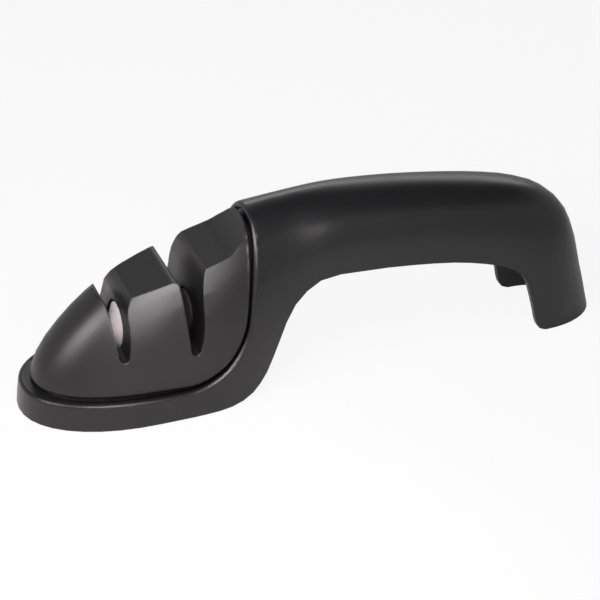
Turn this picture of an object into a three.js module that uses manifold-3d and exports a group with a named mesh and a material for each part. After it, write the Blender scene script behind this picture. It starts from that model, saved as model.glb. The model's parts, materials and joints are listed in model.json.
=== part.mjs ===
// A two-stage pull-through knife sharpener with an arched handle.
// Millimetres, +Z up, nose towards -X. The origin is at the middle of the footprint, on the table.
import * as THREE from "three";
import { mergeVertices } from "three/addons/utils/BufferGeometryUtils.js";
import Module from "manifold-3d";

// Driving dimensions of the moulded body.
const BODY_LENGTH = 200;
const BASE_WIDTH = 50;
const HANDLE_WIDTH = 31;
const BODY_HEIGHT = 60.2;
const NECK_LENGTH = 97;
const TAIL_LENGTH = 42;
const NOSE_HEIGHT = 39.8;
const GRIP_DEPTH = 23.7;
const LEG_WIDTH = 32.4;
const FOOT_ROUND = 40;
const SHELL_WALL = 2.4;
const FIT_GAP = 0.3;

// Skirt round the foot of the nose, and the ledge along the joint line that carries the nose cover.
const SKIRT_HEIGHT = 9;
const LIP_ROUND = 1.17;
const GROOVE_DEPTH = 1.4;
const GROOVE_WIDTH = 1.8;
const COVER_OVERHANG = 1.2;
const LEDGE_THICKNESS = 2.2;
const LEDGE_WIDTH = 4.2;
const SHELF_LENGTH = 7;
const SHELF_FADE = 9;

// Joint line between nose cover and handle: level along the skirt, then a round sweep up to the
// collar, which leans back and is given at the body's full height.
const COLLAR_FROM_NOSE = 77;
const COLLAR_LEAN = THREE.MathUtils.degToRad(9.4);
const SEAM_RADIUS = 23.5;

// Nose cover.
const COVER_WALL = 2.2;
const COVER_DROP = 0.2;
const COLLAR_STEP = 1.4;
const RIM_GAP = 0.5;
const RIM_ROUND = 0.7;
const FACET_FROM_NOSE = 32;
const FACET_START_Z = 37.5;
const FACET_SLOPE = 0.3;
const FACET_END_FROM_COLLAR = 10.4;
const FACET_END_RADIUS = 9;
const CURTAIN_WALL = 1.6;

// Knife slots. Offsets are from the slot's own line, heights are above the table. The front wall
// has a rounded brow, and the rear wall has a belly and a round lead-in that ends on the facet.
const SLOT_END_RADIUS = 1.6;
const SLOT_FRONT_LEAN = 2.5;
const SLOT_BELLY = 5;
const BROW_ROUND = 2.4;
const LEAD_IN_CREASE = 1.6;
const LEAD_IN_LEAN = 0.6;
const FINE_SLOT_FROM_NOSE = 30.8;
const FINE_SLOT_BULGE = 2.8;
const FINE_SLOT_BOTTOM = 20.5;
const FINE_LEAD_IN_RUN = 2.6;
const FINE_LEAD_IN_DROP = 4.5;
const COARSE_SLOT_FROM_NOSE = 53.2;
const COARSE_SLOT_BULGE = 3.8;
const COARSE_SLOT_BOTTOM = 20.2;
const COARSE_LEAD_IN_RUN = 2.8;
const COARSE_LEAD_IN_DROP = 9.5;

// Sharpening wheels and what carries them.
const AXLE_HEIGHT = 22.6;
const AXLE_RADIUS = 1.5;
const RUNNING_GAP = 0.15;
const WHEEL_RADIUS = 8.5;
const WHEEL_HUB_WIDTH = 4;
const WHEEL_RIM_WIDTH = 1.5;
const WHEEL_HUB_RADIUS = 3.4;
const WHEEL_CHAMFER = 0.4;
const WELL_CLEARANCE = 0.7;
const SPACER_WIDTH = 0.8;
const SPACER_RADIUS = 2.9;
const WASHER_WIDTH = 0.8;
const WASHER_RADIUS = 3.2;
const BUSH_RADIUS = 2.8;
const BUSH_FLANGE_RADIUS = 3.8;
const BUSH_FLANGE_WIDTH = 0.7;
const EAR_THICKNESS = 2.4;
const EAR_HALF_WIDTH = 5;
const CARRIER_HALF_DEPTH = 8.6;
const CARRIER_FLOOR = 2;

// Underside.
const PAD_THICKNESS = 1.3;
const PAD_MARGIN = 3.2;
const PLATE_THICKNESS = 2.4;
const PLATE_MARGIN = 0.9;
const PLATE_REAR_FROM_NOSE = 65.4;
const REAR_TAPER = 10;
const REAR_NARROWING = 2;
const LINER_THICKNESS = 2;
const LINER_RECESS = 2.4;

// Self-tapping screws and their bosses.
const SCREW_HEAD_RADIUS = 2.7;
const SCREW_HEAD_HEIGHT = 1.2;
const SCREW_SHANK_RADIUS = 1.2;
const SCREW_LENGTH = 9;
const CROSS_WIDTH = 0.7;
const CROSS_LENGTH = 3;
const CROSS_DEPTH = 0.6;
const BOSS_RADIUS = 3.1;
const FRONT_SCREW_FROM_NOSE = 14.5;
const REAR_SCREWS_FROM_NOSE = 61.5;
const REAR_SCREWS_FROM_SIDE = 11;
const CARRIER_SCREW_Y = 5.4;
const CARRIER_BOSS_RADIUS = 2.6;
const CARRIER_BOSS_HEIGHT = 6;
const LINER_SCREW_FROM_NECK = 11;
const LINER_SCREW_FROM_TAIL = 50;
const LINER_END_FROM_TAIL = 24;

// Mesh fineness.
const STATIONS = 50;
const ARCH_STEPS = 20;
const ROUND_STEPS = 20;

const wasm = await Module();
wasm.setup();

// Turns a closed three.js geometry into a solid for cutting and joining.
function solid(geometry) {
  const bare = geometry.clone();
  bare.deleteAttribute("normal");
  bare.deleteAttribute("uv");
  const merged = mergeVertices(bare, 1e-4);
  const mesh = new wasm.Mesh({
    numProp: 3,
    vertProperties: merged.attributes.position.array,
    triVerts: new Uint32Array(merged.index.array),
  });
  return new wasm.Manifold(mesh);
}

// Turns a solid back into a three.js geometry.
function geometryOf(manifold) {
  const mesh = manifold.getMesh();
  const geometry = new THREE.BufferGeometry();
  const positions = new Float32Array(mesh.numVert * 3);
  for (let i = 0; i < mesh.numVert; i++) {
    const start = i * mesh.numProp;
    positions.set(mesh.vertProperties.subarray(start, start + 3), i * 3);
  }
  geometry.setAttribute("position", new THREE.BufferAttribute(positions, 3));
  geometry.setIndex(new THREE.BufferAttribute(mesh.triVerts, 1));
  geometry.computeVertexNormals();
  return geometry;
}

// Skins a row of rings that all have the same number of points, and closes both ends.
function loft(rings) {
  const count = rings[0].length;
  const positions = rings.flat().flatMap((p) => [p.x, p.y, p.z]);
  const index = [];
  for (let i = 0; i + 1 < rings.length; i++) {
    for (let j = 0; j < count; j++) {
      const next = (j + 1) % count;
      const a = i * count + j;
      const b = i * count + next;
      index.push(a, b, a + count, b, b + count, a + count);
    }
  }
  const last = (rings.length - 1) * count;
  for (let j = 1; j + 1 < count; j++) {
    index.push(0, j + 1, j);
    index.push(last, last + j, last + j + 1);
  }
  const geometry = new THREE.BufferGeometry();
  geometry.setAttribute("position", new THREE.Float32BufferAttribute(positions, 3));
  geometry.setIndex(index);
  return geometry;
}

// A box given by its lowest and highest corners.
function block(low, high) {
  const [dx, dy, dz] = high.map((h, i) => h - low[i]);
  const geometry = new THREE.BoxGeometry(dx, dy, dz);
  geometry.translate((low[0] + high[0]) / 2, (low[1] + high[1]) / 2, (low[2] + high[2]) / 2);
  return solid(geometry);
}

// A side-view outline of [x, z] points, pushed through the whole width.
function sideCut(points, halfWidth) {
  const shape = new THREE.Shape(points.map(([x, z]) => new THREE.Vector2(x, z)));
  const geometry = new THREE.ExtrudeGeometry(shape, { depth: 2 * halfWidth, bevelEnabled: false });
  geometry.rotateX(Math.PI / 2);
  geometry.translate(0, halfWidth, 0);
  return solid(geometry);
}

// A turned piece along X. The profile is a closed run of [x, radius] points.
function turnedOnX(profile) {
  const points = profile.map(([x, r]) => new THREE.Vector2(r, x));
  const geometry = new THREE.LatheGeometry(points, ROUND_STEPS);
  geometry.rotateZ(-Math.PI / 2);
  return geometry;
}

// A plain upright post.
function post(x, y, zLow, zHigh, radius) {
  const geometry = new THREE.CylinderGeometry(radius, radius, zHigh - zLow, ROUND_STEPS);
  geometry.rotateX(Math.PI / 2);
  geometry.translate(x, y, (zLow + zHigh) / 2);
  return solid(geometry);
}

// A plain round bar along X.
function barOnX(xLow, xHigh, z, radius) {
  const geometry = new THREE.CylinderGeometry(radius, radius, xHigh - xLow, ROUND_STEPS);
  geometry.rotateZ(Math.PI / 2);
  geometry.translate((xLow + xHigh) / 2, 0, z);
  return solid(geometry);
}

// Places along the body that follow from these lengths.
const BASE_HALF = BASE_WIDTH / 2;
const NOSE_TIP_X = -BODY_LENGTH / 2;
const TAIL_END_X = BODY_LENGTH / 2;
const COLLAR_X = NOSE_TIP_X + COLLAR_FROM_NOSE;
const FACET_START_X = NOSE_TIP_X + FACET_FROM_NOSE;
const PLATE_REAR_X = NOSE_TIP_X + PLATE_REAR_FROM_NOSE;
const REAR_SCREW_Y = BASE_HALF - REAR_SCREWS_FROM_SIDE;
const COVER_SCREWS = [
  [NOSE_TIP_X + FRONT_SCREW_FROM_NOSE, 0],
  [NOSE_TIP_X + REAR_SCREWS_FROM_NOSE, -REAR_SCREW_Y],
  [NOSE_TIP_X + REAR_SCREWS_FROM_NOSE, REAR_SCREW_Y],
];
const LINER_SCREW_X = [
  NOSE_TIP_X + NECK_LENGTH + LINER_SCREW_FROM_NECK,
  TAIL_END_X - LINER_SCREW_FROM_TAIL,
];

// The moulded outline as a row of ribs. Each rib runs from the crown, on the middle plane,
// to the open lower edge, where the body has its half width. Square sets how boxy the rib is:
// 2 is an ellipse. Places are shares of the neck, the grip or the tail, heights are shares of
// what they climb, and half widths are shares of the way from one width to the next.
const HANDLE_HALF = HANDLE_WIDTH / 2;
const LEG_HALF = LEG_WIDTH / 2;
const GRIP_EDGE = BODY_HEIGHT - GRIP_DEPTH;
const between = THREE.MathUtils.lerp;
const neck = (share) => NOSE_TIP_X + share * NECK_LENGTH;
const tail = (share) => TAIL_END_X - share * TAIL_LENGTH;
const grip = (share) => between(neck(1), tail(1), share);
const nose = (share) => share * NOSE_HEIGHT;
const climb = (share) => between(NOSE_HEIGHT, BODY_HEIGHT, share);
const high = (share) => share * BODY_HEIGHT;
const under = (share) => share * GRIP_EDGE;
const flare = (share) => between(HANDLE_HALF, BASE_HALF, share);
const splay = (share) => between(HANDLE_HALF, LEG_HALF, share);

function rib(crown, edge, half, square) {
  return { crown: new THREE.Vector3(...crown), edge: new THREE.Vector3(...edge), half, square };
}

function side(x, z) {
  return [x, 0, z];
}

const RIBS = [
  // Front of the base: the ribs fan out from the middle of the foot.
  rib(side(neck(0), 0), side(neck(FOOT_ROUND / NECK_LENGTH), 0), BASE_HALF, 2.15),
  rib(side(neck(0.012), SKIRT_HEIGHT), side(neck(0.416), 0), BASE_HALF, 2.15),
  rib(side(neck(0.047), nose(0.465)), side(neck(0.421), 0), BASE_HALF, 2.1),
  rib(side(neck(0.144), nose(0.759)), side(neck(0.425), 0), BASE_HALF, 2.15),
  rib(side(neck(0.263), nose(1)), side(neck(0.429), 0), BASE_HALF, 2.2),
  rib(side(neck(0.412), climb(0.397)), side(neck(0.443), 0), BASE_HALF, 2.2),
  // Nose to neck: the sides draw in to the handle.
  rib(side(neck(0.567), climb(0.691)), side(neck(0.546), 0), BASE_HALF, 2.2),
  rib(side(neck(0.68), climb(0.814)), side(neck(0.639), 0), flare(0.916), 2.3),
  rib(side(neck(0.763), climb(0.877)), side(neck(0.727), under(0.047)), flare(0.663), 2.45),
  rib(side(neck(0.835), climb(0.926)), side(neck(0.789), under(0.178)), flare(0.4), 2.5),
  rib(side(neck(0.918), climb(0.971)), side(neck(0.845), under(0.438)), flare(0.158), 2.45),
  rib(side(neck(1), climb(0.995)), side(neck(0.907), under(0.767)), flare(0.032), 2.4),
  // Handle: a gentle arch that falls towards the tail.
  rib(side(grip(0.131), high(1)), side(grip(0), under(0.967)), HANDLE_HALF, 2.4),
  rib(side(grip(0.295), high(0.993)), side(grip(0.246), under(0.981)), HANDLE_HALF, 2.4),
  rib(side(grip(0.541), high(0.97)), side(grip(0.541), under(0.942)), HANDLE_HALF, 2.4),
  rib(side(grip(0.787), high(0.935)), side(grip(0.787), under(0.882)), HANDLE_HALF, 2.4),
  rib(side(tail(1), high(0.897)), side(tail(1.048), under(0.803)), HANDLE_HALF, 2.4),
  // Tail: the ribs turn over the corner and lie level down the leg.
  rib(side(tail(0.702), high(0.847)), side(tail(0.881), under(0.729)), HANDLE_HALF, 2.35),
  rib(side(tail(0.467), high(0.777)), side(tail(0.779), under(0.647)), splay(0.143), 2.3),
  rib(side(tail(0.286), high(0.664)), side(tail(0.714), under(0.548)), splay(0.286), 2.25),
  rib(side(tail(0.176), high(0.502)), side(tail(0.671), under(0.397)), splay(0.429), 2.2),
  rib(side(tail(0.1), high(0.289)), side(tail(0.631), under(0.214)), splay(0.714), 2.15),
  rib(side(tail(0.048), high(0.15)), side(tail(0.61), under(0.101)), LEG_HALF, 2.1),
  rib(side(tail(0.021), high(0.066)), side(tail(0.581), under(0.03)), LEG_HALF, 2.1),
  rib(side(tail(0), 0), side(tail(0.519), 0), LEG_HALF, 2.1),
];

// The rib in the middle of the nose.
const NOSE_RIB = 5;

const crownLine = new THREE.CatmullRomCurve3(RIBS.map((r) => r.crown), false, "centripetal");
const edgeLine = new THREE.CatmullRomCurve3(RIBS.map((r) => r.edge), false, "centripetal");

// The rib at a place along the body, counted in ribs, with sizes eased between its neighbours.
function ribAt(place) {
  const low = Math.min(Math.floor(place), RIBS.length - 2);
  const share = place - low;
  const mix = (key) => between(RIBS[low][key], RIBS[low + 1][key], share);
  const u = place / (RIBS.length - 1);
  const crown = crownLine.getPoint(u);
  const edge = edgeLine.getPoint(u);
  crown.x = THREE.MathUtils.clamp(crown.x, NOSE_TIP_X, TAIL_END_X);
  edge.z = Math.max(edge.z, 0);
  return rib(crown.toArray(), edge.toArray(), mix("half"), mix("square"));
}

const LAST_RIB = RIBS.length - 1;
const BODY_RIBS = Array.from({ length: STATIONS + 1 }, (_, i) => ribAt((i / STATIONS) * LAST_RIB));

// A cavity is skinned on ribs half-way between those of the outside, so that no two skins share a rib.
const CAVITY_RIBS = [
  BODY_RIBS[0],
  ...Array.from({ length: STATIONS }, (_, i) => ribAt(((i + 0.5) / STATIONS) * LAST_RIB)),
  BODY_RIBS[STATIONS],
];

// Half the width of a rib, at a distance up from its lower edge.
function halfWidthAbove(r, height) {
  const share = height / r.crown.distanceTo(r.edge);
  return r.half * Math.pow(1 - Math.pow(share, r.square), 1 / r.square);
}

// A point of the skin, moved inwards by inset and with the crown sunk by a further drop.
// The angle runs from one lower edge over the crown to the other. The inset is a length for
// the whole skin, or a function that gives the length for a rib.
function skinPoint(r, angle, depth, drop) {
  const inset = typeof depth === "function" ? depth(r) : depth;
  const up = r.crown.clone().sub(r.edge).normalize();
  const height = r.crown.distanceTo(r.edge) - inset - drop;
  const rise = height * Math.pow(Math.sin(angle), 2 / r.square);
  const across = Math.sign(Math.cos(angle)) * Math.pow(Math.abs(Math.cos(angle)), 2 / r.square);
  const point = r.edge.clone().addScaledVector(up, rise);
  return new THREE.Vector3(point.x, (r.half - inset) * across, point.z);
}

// The body's outline moved inwards by inset and drawn out past the open lower edge by reach.
function bodySolid(inset, reach, drop = 0, ribs = BODY_RIBS) {
  const rings = ribs.map((r, i) => {
    const isEnd = i === 0 || i === ribs.length - 1;
    const isOnTable = r.edge.z < FIT_GAP;
    const outwards = isOnTable ? new THREE.Vector3(0, 0, -1) : r.edge.clone().sub(r.crown).normalize();
    const ring = [];
    for (let j = 0; j <= ARCH_STEPS; j++) {
      const sunk = isEnd || j === 0 || j === ARCH_STEPS ? reach : 0;
      const point = skinPoint(r, (Math.PI * j) / ARCH_STEPS, inset, drop);
      ring.push(point.addScaledVector(outwards, sunk));
    }
    return ring;
  });
  return solid(loft(rings));
}

// A slab with the outline of the foot, moved inwards by inset and cut square at the rear.
function footSlab(inset, rear, zLow, zHigh) {
  const centre = NOSE_TIP_X + FOOT_ROUND;
  const half = BASE_HALF - inset;
  const points = [];
  for (let i = 0; i <= ROUND_STEPS; i++) {
    const angle = Math.PI / 2 + (Math.PI * i) / ROUND_STEPS;
    points.push(new THREE.Vector2(centre + (FOOT_ROUND - inset) * Math.cos(angle), half * Math.sin(angle)));
  }
  points.push(new THREE.Vector2(rear - REAR_TAPER, -half));
  points.push(new THREE.Vector2(rear, REAR_NARROWING - half));
  points.push(new THREE.Vector2(rear, half - REAR_NARROWING));
  points.push(new THREE.Vector2(rear - REAR_TAPER, half));
  const outline = new THREE.Shape(points);
  const geometry = new THREE.ExtrudeGeometry(outline, { depth: zHigh - zLow, bevelEnabled: false });
  geometry.translate(0, 0, zLow);
  return solid(geometry);
}

// The middle of the round sweep, from which the joint line is SEAM_RADIUS away.
const SEAM_CENTRE_Z = SKIRT_HEIGHT + SEAM_RADIUS;
const SEAM_LEAN_BACK = (BODY_HEIGHT - SEAM_CENTRE_Z) * Math.tan(COLLAR_LEAN);
const SEAM_CENTRE_X = COLLAR_X - SEAM_LEAN_BACK - SEAM_RADIUS / Math.cos(COLLAR_LEAN);

// Two [x, z] points of the leaning collar, drawn in by a gap: where the sweep ends, and far up.
function collarLine(gap) {
  const low = [
    SEAM_CENTRE_X + (SEAM_RADIUS - gap) * Math.cos(COLLAR_LEAN),
    SEAM_CENTRE_Z - (SEAM_RADIUS - gap) * Math.sin(COLLAR_LEAN),
  ];
  const high = [low[0] + BODY_LENGTH * Math.sin(COLLAR_LEAN), low[1] + BODY_LENGTH * Math.cos(COLLAR_LEAN)];
  return [low, high];
}

// The space in front of the joint line, drawn in by a gap all along it.
function noseSpace(gap) {
  const far = BODY_LENGTH;
  const [low, high] = collarLine(gap);
  const points = [[-far, SKIRT_HEIGHT + gap]];
  const steps = 8;
  for (let i = 0; i < steps; i++) {
    const angle = between(-Math.PI / 2, -COLLAR_LEAN, i / steps);
    const radius = SEAM_RADIUS - gap;
    points.push([SEAM_CENTRE_X + radius * Math.cos(angle), SEAM_CENTRE_Z + radius * Math.sin(angle)]);
  }
  points.push(low, high, [-far, high[1]]);
  return sideCut(points, far);
}

// Everything in front of the collar, right down to the table.
function beforeCollar(gap) {
  const far = BODY_LENGTH;
  const [low, high] = collarLine(gap);
  return sideCut([[-far, -far], [low[0], -far], low, high, [-far, high[1]]], far);
}

// How far a point lies inside the space in front of the joint line.
function depthInNose(point) {
  const dx = point.x - SEAM_CENTRE_X;
  const dz = point.z - SEAM_CENTRE_Z;
  if (dx < 0) {
    return SEAM_RADIUS - Math.max(-dz, 0);
  }
  const along = dx * Math.sin(COLLAR_LEAN) + dz * Math.cos(COLLAR_LEAN);
  const out = dx * Math.cos(COLLAR_LEAN) - dz * Math.sin(COLLAR_LEAN);
  return SEAM_RADIUS - (along < 0 ? Math.hypot(dx, dz) : Math.max(out, 0));
}

// The joint line on the skin, at an inset and drawn in by a gap. Each of its points is looked for
// along a ray over the skin that starts at the crown in the middle of the nose.
function seamLine(inset, drop, gap) {
  const near = [];
  const steps = 120;
  for (let i = 0; i <= steps; i++) {
    const turn = (Math.PI * i) / steps;
    const along = NOSE_RIB * Math.cos(turn);
    const down = Math.sin(turn);
    let inside = 0;
    let outside = Math.min(1 / down, 1.5);
    const pointAt = (share) => {
      const place = Math.max(NOSE_RIB + along * share, 0);
      return skinPoint(ribAt(place), (Math.PI / 2) * (1 - down * share), inset, drop);
    };
    for (let halving = 0; halving < 40; halving++) {
      const share = (inside + outside) / 2;
      if (depthInNose(pointAt(share)) > gap) {
        inside = share;
      } else {
        outside = share;
      }
    }
    near.push(pointAt(inside));
  }
  near[0].y = 0;
  near[steps].y = 0;
  const far = near.slice(1, -1).reverse().map((p) => new THREE.Vector3(p.x, -p.y, p.z));
  return new THREE.CatmullRomCurve3([...near, ...far], true, "centripetal");
}

// A round bead that follows the joint line.
function seamBead(inset, drop, gap, radius) {
  return solid(new THREE.TubeGeometry(seamLine(inset, drop, gap), 96, radius, 10, true));
}

// The facet along the top of the nose: a straight slope, then a hollow that sweeps up to the collar.
const FACET_END_X = COLLAR_X - FACET_END_FROM_COLLAR;

function facetHeight(x) {
  const past = THREE.MathUtils.clamp(x - FACET_END_X, 0, FACET_END_RADIUS);
  const sweep = FACET_END_RADIUS - Math.sqrt(FACET_END_RADIUS ** 2 - past ** 2);
  return FACET_START_Z + FACET_SLOPE * (x - FACET_START_X) + sweep;
}

// Everything under that facet, sunk by a drop.
function underFacet(drop) {
  const far = BODY_LENGTH;
  const start = FACET_START_X - drop;
  const points = [[-far, far], [-far, -far], [far, -far], [far, facetHeight(far)]];
  const steps = 8;
  for (let i = steps; i >= 0; i--) {
    const x = FACET_END_X + FACET_END_RADIUS * Math.sin((Math.PI * i) / (2 * steps));
    points.push([x, facetHeight(x) - drop]);
  }
  points.push([start, facetHeight(start) - drop], [start, far]);
  return sideCut(points, far);
}

// How far the cover lies inside the body's skin: less towards the collar, where the step is small.
function coverInset(r) {
  const share = THREE.MathUtils.smoothstep(r.crown.x, FACET_START_X, COLLAR_X);
  return between(COVER_INSET, COLLAR_STEP, share);
}

// Height of the top of the cover on its middle plane: its crown in front, then the facet.
function topHeight(x) {
  if (x > FACET_START_X) {
    return facetHeight(x);
  }
  const line = BODY_RIBS.map((r) => skinPoint(r, Math.PI / 2, coverInset, COVER_DROP));
  const after = line.findIndex((p) => p.x > x);
  return THREE.MathUtils.mapLinear(x, line[after - 1].x, line[after].x, line[after - 1].z, line[after].z);
}

// A round stretch from one [x, z] point to another that leaves and arrives towards a corner.
function rounded(from, corner, to) {
  const ends = [from, corner, to].map(([x, z]) => new THREE.Vector2(x, z));
  return new THREE.QuadraticBezierCurve(...ends).getPoints(ROUND_STEPS / 4).map((p) => [p.x, p.y]);
}

// One knife slot, seen from the side and grown by a wall.
function slotSpace(slot, grow) {
  const end = SLOT_END_RADIUS + grow;
  const base = slot.bottom + SLOT_END_RADIUS;
  const sky = 2 * BODY_HEIGHT;
  const points = [];
  const steps = 6;
  for (let i = 0; i < steps; i++) {
    const angle = Math.PI + (Math.PI * i) / steps;
    points.push([slot.x + end * Math.cos(angle), base + end * Math.sin(angle)]);
  }
  const rear = slot.x + slot.bulge + grow;
  const corner = facetHeight(rear);
  const leadStart = [rear, corner - slot.leadDrop];
  const leadEnd = [rear + slot.leadRun, facetHeight(rear + slot.leadRun)];
  points.push(...rounded([slot.x + end, base], [rear, base + SLOT_BELLY], leadStart));
  points.push(...rounded(leadStart, [rear + LEAD_IN_LEAN, corner - LEAD_IN_CREASE], leadEnd).slice(1));
  const brow = topHeight(slot.x - SLOT_FRONT_LEAN);
  const lean = (SLOT_FRONT_LEAN - SLOT_END_RADIUS) / (brow - base);
  const front = (z) => slot.x - end - lean * (z - base);
  const face = front(brow) - BROW_ROUND;
  const wallTop = [front(brow - BROW_ROUND), brow - BROW_ROUND];
  points.push([leadEnd[0], sky], [face, sky]);
  points.push(...rounded([face, topHeight(face)], [front(brow), brow], wallTop));
  return sideCut(points, BODY_LENGTH);
}

const STAGES = [
  {
    name: "fine",
    x: NOSE_TIP_X + FINE_SLOT_FROM_NOSE,
    bottom: FINE_SLOT_BOTTOM,
    bulge: FINE_SLOT_BULGE,
    leadRun: FINE_LEAD_IN_RUN,
    leadDrop: FINE_LEAD_IN_DROP,
  },
  {
    name: "coarse",
    x: NOSE_TIP_X + COARSE_SLOT_FROM_NOSE,
    bottom: COARSE_SLOT_BOTTOM,
    bulge: COARSE_SLOT_BULGE,
    leadRun: COARSE_LEAD_IN_RUN,
    leadDrop: COARSE_LEAD_IN_DROP,
  },
];

// Stack of a wheel set along its axle, outwards from the slot's line.
const WHEEL_INNER = SPACER_WIDTH / 2;
const WHEEL_OUTER = WHEEL_INNER + WHEEL_HUB_WIDTH;
const WASHER_INNER = WHEEL_OUTER + FIT_GAP;
const FLANGE_INNER = WASHER_INNER + WASHER_WIDTH + FIT_GAP;
const EAR_INNER = FLANGE_INNER + BUSH_FLANGE_WIDTH + FIT_GAP;
const EAR_OUTER = EAR_INNER + EAR_THICKNESS;
const BORE_RADIUS = AXLE_RADIUS + RUNNING_GAP;
const WELL_RADIUS = WHEEL_RADIUS + WELL_CLEARANCE;

// Heights under the nose, upwards from the table.
const PLATE_LOW = PAD_THICKNESS + FIT_GAP;
const PLATE_HIGH = PLATE_LOW + PLATE_THICKNESS;
const FLOOR_SEAT = PLATE_HIGH + FIT_GAP;
const PLUG_INSET = SHELL_WALL + GROOVE_WIDTH;
const COVER_INSET = PLUG_INSET - COVER_OVERHANG;
const COVER_TUCK = GROOVE_DEPTH - FIT_GAP;
const PILOT_RADIUS = SCREW_SHANK_RADIUS + FIT_GAP;
const HEAD_HOLE_RADIUS = SCREW_HEAD_RADIUS + FIT_GAP;

// The shelf that fills the groove round the tip of the nose and fades out into it on both sides.
function tipShelf() {
  const far = BODY_LENGTH;
  const top = SKIRT_HEIGHT - FIT_GAP / 2;
  const floor = SKIRT_HEIGHT - GROOVE_DEPTH;
  const low = floor - LEDGE_THICKNESS / 2;
  const full = NOSE_TIP_X + SHELF_LENGTH;
  const faded = full + SHELF_FADE;
  const wedge = sideCut([[-far, low], [faded, low], [faded, floor], [full, top], [-far, top]], far);
  const within = bodySolid(PLUG_INSET - FIT_GAP, SHELL_WALL);
  return bodySolid(SHELL_WALL / 2, 0).subtract(within).intersect(wedge);
}

// Handle shell: skirt, neck, arched grip and tail leg in one open moulding.
function handleShell() {
  const wall = bodySolid(0, 0).subtract(bodySolid(SHELL_WALL, SHELL_WALL, 0, CAVITY_RIBS));
  const lip = SHELL_WALL / 2;
  const bead = seamBead(lip, 0, -lip, LIP_ROUND);
  const open = wall.subtract(noseSpace(-lip)).add(bead);
  const band = noseSpace(-GROOVE_DEPTH - LEDGE_THICKNESS).subtract(noseSpace(-GROOVE_DEPTH));
  const within = bodySolid(SHELL_WALL + LEDGE_WIDTH, SHELL_WALL, 0, CAVITY_RIBS);
  const ledge = bodySolid(SHELL_WALL / 2, 0).subtract(within).intersect(band);
  let shell = open.add(ledge).add(tipShelf());
  for (const x of LINER_SCREW_X) {
    const seat = bossSeat(x);
    const boss = post(x, 0, seat, BODY_HEIGHT, BOSS_RADIUS).intersect(bodySolid(SHELL_WALL / 2, 0));
    shell = shell.add(boss).subtract(post(x, 0, seat - 1, seat + SCREW_LENGTH, PILOT_RADIUS));
  }
  return shell;
}

// Nose cover: a hollow hood with the two knife slots, their curtain walls and three screw bosses.
function noseCover() {
  const rimInset = (r) => coverInset(r) + RIM_ROUND;
  const rimGap = RIM_GAP + RIM_ROUND;
  const rim = seamBead(rimInset, COVER_DROP, rimGap, RIM_ROUND);
  const backing = bodySolid(rimInset, 0, COVER_DROP).intersect(noseSpace(rimGap - RIM_ROUND / 2));
  const dome = bodySolid(coverInset, 0, COVER_DROP).intersect(noseSpace(rimGap)).add(rim).add(backing);
  const plug = bodySolid(PLUG_INSET, 0, COVER_DROP).intersect(noseSpace(-COVER_TUCK));
  const outer = dome.add(plug).intersect(underFacet(0));
  const front = beforeCollar(COVER_WALL - COVER_TUCK);
  const hollow = bodySolid(PLUG_INSET + COVER_WALL, 0, COVER_DROP, CAVITY_RIBS);
  const cavity = hollow.intersect(front).intersect(underFacet(COVER_WALL));
  let cover = outer.subtract(cavity);
  for (const stage of STAGES) {
    cover = cover.add(slotSpace(stage, CURTAIN_WALL).intersect(outer));
  }
  const inside = bodySolid(PLUG_INSET + COVER_WALL / 2, 0, COVER_DROP).intersect(underFacet(COVER_WALL / 2));
  for (const [x, y] of COVER_SCREWS) {
    cover = cover.add(post(x, y, FLOOR_SEAT, BODY_HEIGHT, BOSS_RADIUS).intersect(inside));
  }
  for (const stage of STAGES) {
    const reach = EAR_INNER;
    cover = cover.subtract(slotSpace(stage, 0));
    cover = cover.subtract(barOnX(stage.x - reach, stage.x + reach, AXLE_HEIGHT, WELL_RADIUS));
  }
  for (const [x, y] of COVER_SCREWS) {
    cover = cover.subtract(post(x, y, 0, FLOOR_SEAT + SCREW_LENGTH, PILOT_RADIUS));
  }
  return cover;
}

// All places where a screw comes up through the base plate.
const PLATE_SCREWS = [
  ...COVER_SCREWS,
  ...STAGES.flatMap((stage) => [[stage.x, -CARRIER_SCREW_Y], [stage.x, CARRIER_SCREW_Y]]),
];

// Base plate that closes the foot, and the non-slip pad stuck under it.
function basePlate() {
  let plate = footSlab(SHELL_WALL + PLATE_MARGIN, PLATE_REAR_X, PLATE_LOW, PLATE_HIGH);
  for (const [x, y] of PLATE_SCREWS) {
    plate = plate.subtract(post(x, y, 0, FLOOR_SEAT, PILOT_RADIUS));
  }
  return plate;
}

function basePad() {
  let pad = footSlab(SHELL_WALL + PAD_MARGIN, PLATE_REAR_X - PAD_MARGIN, 0, PAD_THICKNESS);
  for (const [x, y] of PLATE_SCREWS) {
    pad = pad.subtract(post(x, y, -1, FLOOR_SEAT, HEAD_HOLE_RADIUS));
  }
  return pad;
}

// Liner plate that closes the underside of the neck and the grip.
const LINER_START_X = PLATE_REAR_X + 2 * FIT_GAP;
const LINER_END_X = TAIL_END_X - LINER_END_FROM_TAIL;
const LINER_RIBS = BODY_RIBS.filter((r) => r.edge.x > LINER_START_X && r.crown.x < LINER_END_X);

function linerRing(r) {
  const up = r.crown.clone().sub(r.edge).normalize();
  const corner = (height, sign) => {
    const half = halfWidthAbove(r, height) - SHELL_WALL - FIT_GAP;
    const point = r.edge.clone().addScaledVector(up, height);
    return new THREE.Vector3(point.x, sign * half, point.z);
  };
  const high = LINER_RECESS + LINER_THICKNESS;
  return [corner(LINER_RECESS, 1), corner(high, 1), corner(high, -1), corner(LINER_RECESS, -1)];
}

// Heights of the liner's lower and upper faces at a place along the body.
function linerFace(x, corner) {
  const line = LINER_RIBS.map((r) => linerRing(r)[corner]);
  const after = line.findIndex((p) => p.x > x);
  return THREE.MathUtils.mapLinear(x, line[after - 1].x, line[after].x, line[after - 1].z, line[after].z);
}

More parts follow.
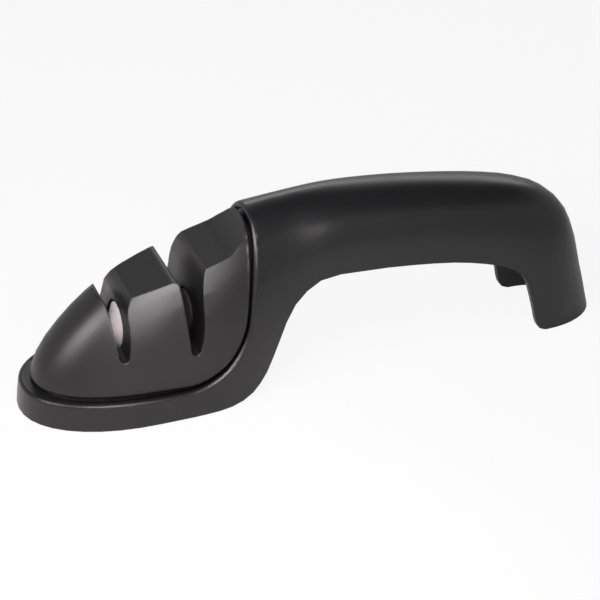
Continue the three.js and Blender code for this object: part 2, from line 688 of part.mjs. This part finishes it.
// Where a boss ends above the liner, and where a screw head sits under it.
function bossSeat(x) {
  return Math.max(linerFace(x - BOSS_RADIUS, 1), linerFace(x + BOSS_RADIUS, 1)) + FIT_GAP;
}

function linerScrewSeat(x) {
  return Math.min(linerFace(x - SCREW_HEAD_RADIUS, 0), linerFace(x + SCREW_HEAD_RADIUS, 0)) - FIT_GAP;
}

function handleLiner() {
  let liner = solid(loft(LINER_RIBS.map(linerRing)));
  for (const x of LINER_SCREW_X) {
    liner = liner.subtract(post(x, 0, 0, BODY_HEIGHT, PILOT_RADIUS));
  }
  return liner;
}

// Carrier: a floor with two upright ears for the bushes, and two screw bosses.
function carrier(stage) {
  const floorHigh = FLOOR_SEAT + CARRIER_FLOOR;
  const reach = EAR_OUTER + 1;
  let body = block(
    [stage.x - EAR_OUTER, -CARRIER_HALF_DEPTH, FLOOR_SEAT],
    [stage.x + EAR_OUTER, CARRIER_HALF_DEPTH, floorHigh],
  );
  for (const [inner, outer] of [[-EAR_OUTER, -EAR_INNER], [EAR_INNER, EAR_OUTER]]) {
    const low = [stage.x + inner, -EAR_HALF_WIDTH, FLOOR_SEAT];
    const high = [stage.x + outer, EAR_HALF_WIDTH, AXLE_HEIGHT];
    const eye = barOnX(stage.x + inner, stage.x + outer, AXLE_HEIGHT, EAR_HALF_WIDTH);
    body = body.add(block(low, high)).add(eye);
  }
  body = body.subtract(barOnX(stage.x - reach, stage.x + reach, AXLE_HEIGHT, BUSH_RADIUS + FIT_GAP));
  for (const y of [-CARRIER_SCREW_Y, CARRIER_SCREW_Y]) {
    body = body.add(post(stage.x, y, FLOOR_SEAT, floorHigh + CARRIER_BOSS_HEIGHT, CARRIER_BOSS_RADIUS));
    body = body.subtract(post(stage.x, y, 0, floorHigh + CARRIER_BOSS_HEIGHT + 1, PILOT_RADIUS));
  }
  return body;
}

// A bevelled wheel. Its sloping face looks along -X, towards its partner across the slot.
function wheelProfile() {
  const slopeEnd = WHEEL_HUB_WIDTH - WHEEL_RIM_WIDTH;
  return [
    [0, BORE_RADIUS],
    [0, WHEEL_HUB_RADIUS],
    [slopeEnd, WHEEL_RADIUS],
    [WHEEL_HUB_WIDTH - WHEEL_CHAMFER, WHEEL_RADIUS],
    [WHEEL_HUB_WIDTH, WHEEL_RADIUS - WHEEL_CHAMFER],
    [WHEEL_HUB_WIDTH, BORE_RADIUS],
    [0, BORE_RADIUS],
  ];
}

// A plain ring between two places along X.
function ringProfile(low, high, bore, radius) {
  return [[low, bore], [low, radius], [high, radius], [high, bore], [low, bore]];
}

// A flanged bush. Its flange is on the -X side, towards the wheel.
function bushProfile() {
  const end = BUSH_FLANGE_WIDTH + FIT_GAP + EAR_THICKNESS;
  return [
    [0, BORE_RADIUS],
    [0, BUSH_FLANGE_RADIUS],
    [BUSH_FLANGE_WIDTH, BUSH_FLANGE_RADIUS],
    [BUSH_FLANGE_WIDTH, BUSH_RADIUS],
    [end, BUSH_RADIUS],
    [end, BORE_RADIUS],
    [0, BORE_RADIUS],
  ];
}

function axleProfile() {
  const half = EAR_OUTER + FIT_GAP + WHEEL_CHAMFER;
  return [
    [-half, 0],
    [-half, AXLE_RADIUS - WHEEL_CHAMFER],
    [-half + WHEEL_CHAMFER, AXLE_RADIUS],
    [half - WHEEL_CHAMFER, AXLE_RADIUS],
    [half, AXLE_RADIUS - WHEEL_CHAMFER],
    [half, 0],
  ];
}

// A pan-head screw with a cross recess, head down, its seat at height 0.
function screwGeometry() {
  const dome = SCREW_HEAD_HEIGHT * 0.35;
  const points = [
    [0, -SCREW_HEAD_HEIGHT],
    [SCREW_HEAD_RADIUS - dome, -SCREW_HEAD_HEIGHT],
    [SCREW_HEAD_RADIUS, -SCREW_HEAD_HEIGHT + dome],
    [SCREW_HEAD_RADIUS, 0],
    [SCREW_SHANK_RADIUS, 0],
    [SCREW_SHANK_RADIUS, SCREW_LENGTH - SCREW_SHANK_RADIUS],
    [0, SCREW_LENGTH],
  ];
  const profile = points.map(([r, z]) => new THREE.Vector2(r, z));
  const lathe = new THREE.LatheGeometry(profile, ROUND_STEPS / 2);
  lathe.rotateX(Math.PI / 2);
  const low = -SCREW_HEAD_HEIGHT - 1;
  const high = -SCREW_HEAD_HEIGHT + CROSS_DEPTH;
  const long = CROSS_LENGTH / 2;
  const slim = CROSS_WIDTH / 2;
  const across = block([-slim, -long, low], [slim, long, high]);
  const cross = block([-long, -slim, low], [long, slim, high]).add(across);
  return geometryOf(solid(lathe).subtract(cross));
}

const FINISHES = {
  shell: { color: 0x2b2b2d, roughness: 0.42, metalness: 0 },
  cover: { color: 0x303032, roughness: 0.34, metalness: 0 },
  inner: { color: 0x1d1d1f, roughness: 0.6, metalness: 0 },
  rubber: { color: 0x161617, roughness: 0.85, metalness: 0 },
  ceramic: { color: 0xe2dcd8, roughness: 0.5, metalness: 0 },
  diamond: { color: 0x3a3a3c, roughness: 0.7, metalness: 0.6 },
  steel: { color: 0xb9babd, roughness: 0.25, metalness: 1 },
  brass: { color: 0xb08d4c, roughness: 0.35, metalness: 1 },
};

const sharpener = new THREE.Group();

function addPiece(name, geometry, finish, parent = sharpener) {
  const mesh = new THREE.Mesh(geometry, new THREE.MeshStandardMaterial(FINISHES[finish]));
  mesh.name = name;
  parent.add(mesh);
  return mesh;
}

// One wheel set: everything on the axle of a stage, built round the slot's line.
function addWheelSet(stage, wheelFinish) {
  const set = new THREE.Group();
  set.position.set(stage.x, 0, AXLE_HEIGHT);
  sharpener.add(set);
  const half = SPACER_WIDTH / 2 - FIT_GAP / 2;
  addPiece(stage.name + "_axle", turnedOnX(axleProfile()), "steel", set);
  const spacer = ringProfile(-half, half, BORE_RADIUS, SPACER_RADIUS);
  addPiece(stage.name + "_spacer", turnedOnX(spacer), "inner", set);
  for (const [place, turn] of [["front", Math.PI], ["rear", 0]]) {
    const end = new THREE.Group();
    end.rotation.z = turn;
    set.add(end);
    const wheel = turnedOnX(wheelProfile());
    const washer = turnedOnX(ringProfile(0, WASHER_WIDTH, BORE_RADIUS, WASHER_RADIUS));
    const bush = turnedOnX(bushProfile());
    addPiece(stage.name + "_wheel_" + place, wheel, wheelFinish, end).position.x = WHEEL_INNER;
    addPiece(stage.name + "_washer_" + place, washer, "steel", end).position.x = WASHER_INNER;
    addPiece(stage.name + "_bush_" + place, bush, "brass", end).position.x = FLANGE_INNER;
  }
}

addPiece("handle_shell", geometryOf(handleShell()), "shell");
addPiece("nose_cover", geometryOf(noseCover()), "cover");
addPiece("handle_liner", geometryOf(handleLiner()), "inner");
addPiece("base_plate", geometryOf(basePlate()), "inner");
addPiece("base_pad", geometryOf(basePad()), "rubber");
for (const stage of STAGES) {
  addPiece(stage.name + "_carrier", geometryOf(carrier(stage)), "inner");
}
addWheelSet(STAGES[0], "ceramic");
addWheelSet(STAGES[1], "diamond");

COVER_SCREWS.forEach(([x, y], i) => {
  addPiece("cover_screw_" + (i + 1), screwGeometry(), "steel").position.set(x, y, PAD_THICKNESS);
});
for (const stage of STAGES) {
  [-CARRIER_SCREW_Y, CARRIER_SCREW_Y].forEach((y, i) => {
    const name = stage.name + "_carrier_screw_" + (i + 1);
    addPiece(name, screwGeometry(), "steel").position.set(stage.x, y, PAD_THICKNESS);
  });
}
LINER_SCREW_X.forEach((x, i) => {
  addPiece("liner_screw_" + (i + 1), screwGeometry(), "steel").position.set(x, 0, linerScrewSeat(x));
});

export default sharpener;
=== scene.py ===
# %% [markdown]
# A two-stage knife sharpener in black plastic: an arched handle with a skirted foot, and a nose
# cover with two slots over pairs of small wheels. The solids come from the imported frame, in metres,
# +Z up, with the nose towards -X. This script gives them their moulded finish, the light and the camera.

# %% Load the frame
import json
import math

import bpy
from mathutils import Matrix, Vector


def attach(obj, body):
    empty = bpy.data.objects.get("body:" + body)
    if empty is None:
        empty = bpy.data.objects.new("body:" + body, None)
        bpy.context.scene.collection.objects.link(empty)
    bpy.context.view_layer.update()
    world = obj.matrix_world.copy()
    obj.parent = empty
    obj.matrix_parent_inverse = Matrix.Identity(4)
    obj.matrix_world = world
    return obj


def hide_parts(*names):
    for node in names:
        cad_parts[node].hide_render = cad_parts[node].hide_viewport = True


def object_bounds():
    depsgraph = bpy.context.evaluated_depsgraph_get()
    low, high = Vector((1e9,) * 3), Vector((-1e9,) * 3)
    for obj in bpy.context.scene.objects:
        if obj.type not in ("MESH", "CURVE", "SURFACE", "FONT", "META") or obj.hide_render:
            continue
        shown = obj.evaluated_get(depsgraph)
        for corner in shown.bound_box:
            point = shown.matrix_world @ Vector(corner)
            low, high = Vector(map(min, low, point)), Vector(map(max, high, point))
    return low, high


MM = 0.001
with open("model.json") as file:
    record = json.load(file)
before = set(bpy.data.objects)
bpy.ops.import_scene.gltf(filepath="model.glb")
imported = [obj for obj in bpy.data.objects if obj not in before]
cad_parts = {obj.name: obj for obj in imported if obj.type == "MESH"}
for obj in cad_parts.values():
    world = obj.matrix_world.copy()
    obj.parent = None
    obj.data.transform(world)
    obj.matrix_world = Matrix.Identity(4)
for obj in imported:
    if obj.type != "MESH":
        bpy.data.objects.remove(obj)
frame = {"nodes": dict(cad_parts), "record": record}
cad_low, cad_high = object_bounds()
record = frame["record"]
slot_of = {part["node"]: part["material_slot"] for part in record["subparts"]}
body_of = {node: body for body, nodes in record["behaviour"]["bodies"].items() for node in nodes}

# %% [markdown]
# The camera stands in front of the nose and looks down along the body. Its angle, distance and lens
# were fitted to the outline of the real object, so the picture keeps the same perspective.

# %% Camera
VIEW_SIDE = math.radians(-21)
VIEW_RISE = math.radians(30)
VIEW_DISTANCE = 700 * MM
VIEW_LENS = 129.2
SENSOR_WIDTH = 36
NEAREST_SEEN = 10 * MM
VIEW_AIM = Vector((-5.5, -3.0, 21.7)) * MM
VIEW_CENTRE = Vector((0, 0, 30)) * MM

towards_camera = Vector((
    math.sin(VIEW_SIDE) * math.cos(VIEW_RISE),
    -math.cos(VIEW_SIDE) * math.cos(VIEW_RISE),
    math.sin(VIEW_RISE),
))
camera_place = VIEW_CENTRE + towards_camera * VIEW_DISTANCE
camera_turn = (VIEW_AIM - camera_place).to_track_quat("-Z", "Y").to_euler()
bpy.ops.object.camera_add(location=camera_place, rotation=camera_turn)
camera = bpy.context.object
camera.name = "camera"
camera.data.lens = VIEW_LENS
camera.data.sensor_width = SENSOR_WIDTH
camera.data.clip_start = NEAREST_SEEN
bpy.context.scene.camera = camera
print("camera at", [round(value, 3) for value in camera_place])

# %% [markdown]
# Colours are written as the hex values that a colour picker shows, and Blender's shaders want linear
# light, so one function turns one into the other. A second one adds a shader node, sets it and links it.
# Two more blend a pair of colours and spread a pattern over a range of roughness. Patterns are given by
# the size of their grains in millimetres.

# %% Colour and node helpers
def linear(hex_colour):
    channels = [int(hex_colour[i:i + 2], 16) / 255 for i in (1, 3, 5)]
    light = [c / 12.92 if c <= 0.04045 else ((c + 0.055) / 1.055) ** 2.4 for c in channels]
    return (*light, 1)


def add_node(tree, kind, inputs, **settings):
    made = tree.nodes.new(kind)
    for name, value in settings.items():
        setattr(made, name, value)
    for name, value in inputs.items():
        if isinstance(value, bpy.types.NodeSocket):
            tree.links.new(value, made.inputs[name])
        else:
            made.inputs[name].default_value = value
    return made


def start_material(name):
    material = bpy.data.materials.new(name)
    material.use_nodes = True
    material.node_tree.nodes.clear()
    return material, material.node_tree


def per_mm(size_mm):
    return 1 / (size_mm * MM)


PATTERN_LOW, PATTERN_HIGH = 0.3, 0.7


def blend(tree, share, first, second):
    mix = add_node(tree, "ShaderNodeMix", {"Factor": share}, data_type="RGBA")
    mix.inputs["A"].default_value = linear(first)
    mix.inputs["B"].default_value = linear(second)
    return mix.outputs["Result"]


def uneven(tree, pattern, low, high):
    spread = add_node(tree, "ShaderNodeMapRange", {
        "Value": pattern, "From Min": PATTERN_LOW, "From Max": PATTERN_HIGH,
        "To Min": low, "To Max": high,
    })
    return spread.outputs[0]


print("mid grey #808080 is", [round(value, 4) for value in linear("#808080")[:3]], "in linear light")

# %% [markdown]
# A black object is drawn by what it reflects. The walls of this light tent are pale for about a third of
# the way to the zenith and dim above, which gives the handle a grey side with a dark band over it. One soft
# lamp behind brightens the crown, and three in front, a little pinker, draw the highlights on the nose and
# light the slots. The table is white to the eye and keeps a soft shadow.

# %% Light and floor
TENT_EDGE = math.sin(math.radians(26))
TENT_FADE = math.sin(math.radians(40))
TENT_WALL = (0.45, 0.45, 0.46, 1)
TENT_ROOF = (0.09, 0.09, 0.095, 1)
WHITE = (1, 1, 1, 1)
LAMP_WHITE = "#ffffff"
LAMP_PINK = "#fff8fa"
TABLE_WIDTH = 6000 * MM
TABLE_DROP = 0.2 * MM
SEEN_GLOW = 0.9
MIRRORED_GLOW = 0.2

scene = bpy.context.scene
scene.view_settings.view_transform = "Standard"

world = bpy.data.worlds.new("light_tent")
scene.world = world
world.use_nodes = True
room = world.node_tree
room.nodes.clear()
towards = add_node(room, "ShaderNodeTexCoord", {}).outputs["Generated"]
height = add_node(room, "ShaderNodeSeparateXYZ", {"Vector": towards}).outputs["Z"]
wall = add_node(room, "ShaderNodeValToRGB", {"Fac": height})
wall.color_ramp.elements[0].position = TENT_EDGE
wall.color_ramp.elements[0].color = TENT_WALL
wall.color_ramp.elements[1].position = TENT_FADE
wall.color_ramp.elements[1].color = TENT_ROOF
seen = add_node(room, "ShaderNodeLightPath", {})
tent = add_node(room, "ShaderNodeBackground", {"Color": wall.outputs["Color"], "Strength": 1.0})
white = add_node(room, "ShaderNodeBackground", {"Color": WHITE, "Strength": 1.0})
either = add_node(room, "ShaderNodeMixShader", {"Fac": seen.outputs["Is Camera Ray"]})
room.links.new(tent.outputs[0], either.inputs[1])
room.links.new(white.outputs[0], either.inputs[2])
add_node(room, "ShaderNodeOutputWorld", {"Surface": either.outputs[0]})


def soft_lamp(name, place_mm, size_mm, watts, colour):
    place = Vector(place_mm) * MM
    turn = (VIEW_CENTRE - place).to_track_quat("-Z", "Y").to_euler()
    bpy.ops.object.light_add(type="AREA", location=place, rotation=turn)
    lamp = bpy.context.object
    lamp.name = name
    lamp.data.shape = "RECTANGLE"
    lamp.data.size = size_mm[0] * MM
    lamp.data.size_y = size_mm[1] * MM
    lamp.data.energy = watts
    lamp.data.color = linear(colour)[:3]


soft_lamp("back_softbox", (370, 696, 369), (760, 160), 0.8, LAMP_WHITE)
soft_lamp("left_softbox", (-521, -88, 427), (260, 360), 2.6, LAMP_PINK)
soft_lamp("front_softbox", (-130, -640, 350), (320, 150), 1.4, LAMP_PINK)
soft_lamp("nose_softbox", (-108, -140, 190), (120, 90), 0.52, LAMP_PINK)

bpy.ops.mesh.primitive_plane_add(size=TABLE_WIDTH, location=(0, 0, cad_low[2] - TABLE_DROP))
floor = bpy.context.object
floor.name = "table"
table_paint, tree = start_material("white_table")
path = add_node(tree, "ShaderNodeLightPath", {})
matt = add_node(tree, "ShaderNodeBsdfDiffuse", {"Color": linear("#d0d0d0")})
glow = add_node(tree, "ShaderNodeEmission", {"Color": WHITE, "Strength": 1.0})
seen_white = {0: path.outputs["Is Camera Ray"], 1: SEEN_GLOW}
mirrored = {0: path.outputs["Is Glossy Ray"], 1: MIRRORED_GLOW}
straight = add_node(tree, "ShaderNodeMath", seen_white, operation="MULTIPLY")
bounced = add_node(tree, "ShaderNodeMath", mirrored, operation="MULTIPLY")
brighter = {0: straight.outputs[0], 1: bounced.outputs[0]}
lit = add_node(tree, "ShaderNodeMath", brighter, operation="MAXIMUM")
mixed = add_node(tree, "ShaderNodeMixShader", {"Fac": lit.outputs[0]})
tree.links.new(matt.outputs[0], mixed.inputs[1])
tree.links.new(glow.outputs[0], mixed.inputs[2])
add_node(tree, "ShaderNodeOutputMaterial", {"Surface": mixed.outputs[0]})
floor.data.materials.append(table_paint)

# %% [markdown]
# Handle and nose cover are moulded in ABS, a tough plastic, in finely etched tools: the handle comes out
# semi-gloss and the cover satin, with broad, soft highlights and no mirror image. Etching is a grain of a
# few hundredths of a millimetre, drawn coarser here so that it shows, and handling leaves the gloss a
# little uneven. Moulded edges are never sharp, so the shading rounds them. Liner, base plate, carriers and
# spacers are nylon and the pad is rubber, made the same way with less gloss.

# %% Moulded plastics and rubber
HANDLING_MM = 22
ETCH_STRENGTH = 0.5
EDGE_SAMPLES = 6
PLASTIC_IOR = 1.53


def moulded_plastic(name, colour, worn, gloss, grain_mm, grain_height_mm, edge_mm):
    material, tree = start_material(name)
    place = add_node(tree, "ShaderNodeTexCoord", {}).outputs["Object"]
    grain = add_node(tree, "ShaderNodeTexNoise", {"Vector": place, "Scale": per_mm(grain_mm), "Detail": 3})
    cloud = add_node(tree, "ShaderNodeTexNoise", {
        "Vector": place, "Scale": per_mm(HANDLING_MM), "Detail": 2,
    })
    edge = add_node(tree, "ShaderNodeBevel", {"Radius": edge_mm * MM}, samples=EDGE_SAMPLES)
    etch = add_node(tree, "ShaderNodeBump", {
        "Height": grain.outputs["Fac"], "Strength": ETCH_STRENGTH,
        "Distance": grain_height_mm * MM, "Normal": edge.outputs[0],
    })
    skin = add_node(tree, "ShaderNodeBsdfPrincipled", {
        "Base Color": blend(tree, cloud.outputs["Fac"], colour, worn),
        "Roughness": uneven(tree, cloud.outputs["Fac"], *gloss),
        "IOR": PLASTIC_IOR,
        "Normal": etch.outputs[0],
    })
    add_node(tree, "ShaderNodeOutputMaterial", {"Surface": skin.outputs[0]})
    return material


gloss_abs = moulded_plastic("semi_gloss_black_abs", "#101011", "#151516", (0.27, 0.33), 0.5, 0.01, 0.6)
satin_abs = moulded_plastic("satin_black_abs", "#131213", "#181718", (0.34, 0.40), 0.8, 0.006, 0.7)
inner_nylon = moulded_plastic("matte_black_nylon", "#131314", "#18181a", (0.55, 0.65), 0.4, 0.02, 0.3)
pad_rubber = moulded_plastic("black_foot_rubber", "#101010", "#161616", (0.78, 0.88), 0.7, 0.06, 0.3)
print("made", gloss_abs.name, satin_abs.name, inner_nylon.name, pad_rubber.name)

# %% [markdown]
# The fine wheels are sintered ceramic, warm white and ground on their bevels. The coarse ones are steel
# rings with bonded abrasive grit, dark and dull. Axles, washers and screws are turned bright steel, and
# the bushes are brass.

# %% Ceramic, grit and metals
WEAR_MM = 3
GRIT_STRENGTH = 0.6


def gritty(name, colour, speck, metal, gloss, grit_mm, height_mm):
    material, tree = start_material(name)
    place = add_node(tree, "ShaderNodeTexCoord", {}).outputs["Object"]
    grit = add_node(tree, "ShaderNodeTexVoronoi", {"Vector": place, "Scale": per_mm(grit_mm)})
    cloud = add_node(tree, "ShaderNodeTexNoise", {"Vector": place, "Scale": per_mm(WEAR_MM), "Detail": 3})
    both = {0: grit.outputs["Distance"], 1: cloud.outputs["Fac"]}
    share = add_node(tree, "ShaderNodeMath", both, operation="MULTIPLY")
    bump = add_node(tree, "ShaderNodeBump", {
        "Height": grit.outputs["Distance"], "Strength": GRIT_STRENGTH, "Distance": height_mm * MM,
    })
    skin = add_node(tree, "ShaderNodeBsdfPrincipled", {
        "Base Color": blend(tree, share.outputs[0], colour, speck),
        "Metallic": metal,
        "Roughness": uneven(tree, cloud.outputs["Fac"], *gloss),
        "Normal": bump.outputs[0],
    })
    add_node(tree, "ShaderNodeOutputMaterial", {"Surface": skin.outputs[0]})
    return material


fine_ceramic = gritty("ground_white_ceramic", "#e6dfdf", "#d6cece", 0, (0.45, 0.6), 0.25, 0.01)
coarse_grit = gritty("bonded_grit_on_steel", "#201e1f", "#3c3a3b", 0.2, (0.75, 0.88), 0.3, 0.04)
turned_steel = gritty("turned_bright_steel", "#c2c3c6", "#adaeb2", 1, (0.22, 0.34), 0.6, 0.004)
turned_brass = gritty("turned_brass", "#c9a75e", "#b3904a", 1, (0.25, 0.38), 0.6, 0.004)
finishes = {
    "shell_abs": gloss_abs,
    "cover_abs": satin_abs,
    "inner_plastic": inner_nylon,
    "pad_rubber": pad_rubber,
    "fine_ceramic": fine_ceramic,
    "coarse_diamond": coarse_grit,
    "steel": turned_steel,
    "bush_brass": turned_brass,
}
print("finishes for", sorted(finishes))

# %% [markdown]
# The frame's solids are loose triangles. Each is copied, its points are merged, flat areas are freed of
# needless edges, and its shading is evened, so that the curved skins read as smooth mouldings while the
# slots and facets stay crisp. The copy stands for its solid and moves with the same body.

# %% Smooth copies of every piece
CREASE = math.radians(32)
FLAT_ENOUGH = math.radians(0.5)
SAME_POINT = 0.02 * MM


def moulded_copy(node):
    bpy.ops.object.select_all(action="DESELECT")
    mesh = frame["nodes"][node].data.copy()
    piece = bpy.data.objects.new(node + "_piece", mesh)
    scene.collection.objects.link(piece)
    piece.select_set(True)
    bpy.context.view_layer.objects.active = piece
    bpy.ops.object.mode_set(mode="EDIT")
    bpy.ops.mesh.select_all(action="SELECT")
    bpy.ops.mesh.customdata_custom_splitnormals_clear()
    bpy.ops.mesh.remove_doubles(threshold=SAME_POINT)
    bpy.ops.mesh.dissolve_limited(angle_limit=FLAT_ENOUGH)
    bpy.ops.object.mode_set(mode="OBJECT")
    bpy.ops.object.shade_smooth_by_angle(angle=CREASE)
    evened = piece.modifiers.new("evened_shading", "WEIGHTED_NORMAL")
    evened.keep_sharp = True
    bpy.ops.object.modifier_apply(modifier=evened.name)
    mesh.materials.clear()
    mesh.materials.append(finishes[slot_of[node]])
    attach(piece, body_of[node])
    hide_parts(node)
    return piece


for node in sorted(frame["nodes"]):
    piece = moulded_copy(node)
    print(piece.name, len(piece.data.polygons), "faces")
